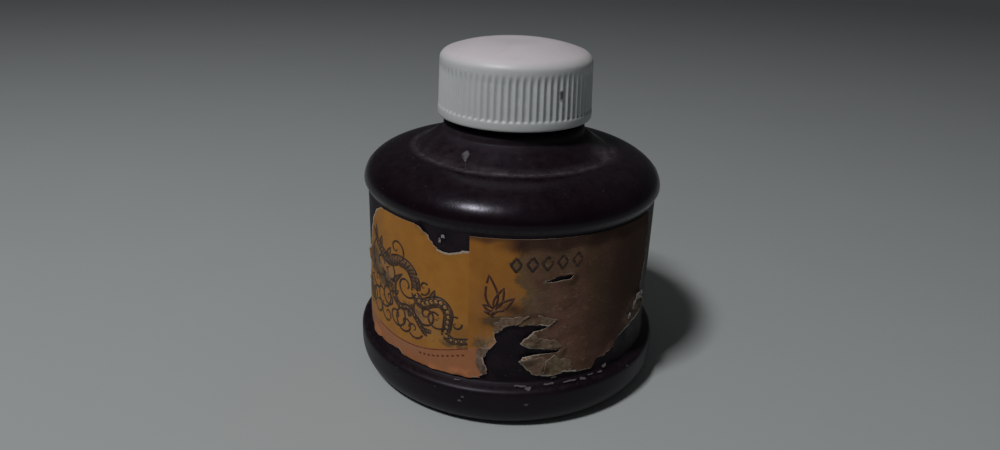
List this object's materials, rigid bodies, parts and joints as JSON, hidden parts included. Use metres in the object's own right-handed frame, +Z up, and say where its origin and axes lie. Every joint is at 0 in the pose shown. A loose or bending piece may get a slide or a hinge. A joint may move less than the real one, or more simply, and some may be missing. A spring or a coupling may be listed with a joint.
{
  "type": "ink bottle",
  "caption": "Squat round ink bottle with a flared base, rounded shoulder, torn paper label and a ribbed screw cap that unscrews and lifts off.",
  "frame": {"origin": "centre of the bottle's base, on the surface that it stands on", "axes": "+Z up the bottle's axis; -Y out of the front, where the label's seam is a little to the left"},
  "size_m": [0.06, 0.06, 0.0638],
  "materials": {
    "bottle_plastic": "satin",
    "cap_plastic": "satin",
    "liner_foam": "matte",
    "ink": "gloss",
    "label_bright": "matte",
    "label_worn": "matte"
  },
  "bodies": {
    "bottle": {"bottle_body": "bottle_plastic", "ink_fill": "ink", "label_left": "label_bright", "label_right": "label_worn", "label_back": "label_worn"},
    "liner": {"cap_liner": "liner_foam"},
    "cap": {"screw_cap": "cap_plastic"}
  },
  "joints": [
    {"name": "cap_lift", "type": "slide", "parent": "bottle", "child": "liner", "axis": [0, 0, 1], "range_m": [0, 0.012]},
    {"name": "cap_turn", "type": "hinge", "parent": "liner", "child": "cap", "pos_m": [0, 0, 0.055], "axis": [0, 0, 1], "range_deg": [0, 1080]}
  ],
  "couplings": [
    {"joint": "cap_lift", "follows": "cap_turn", "m_per_rad": 0.00063662}
  ]
}
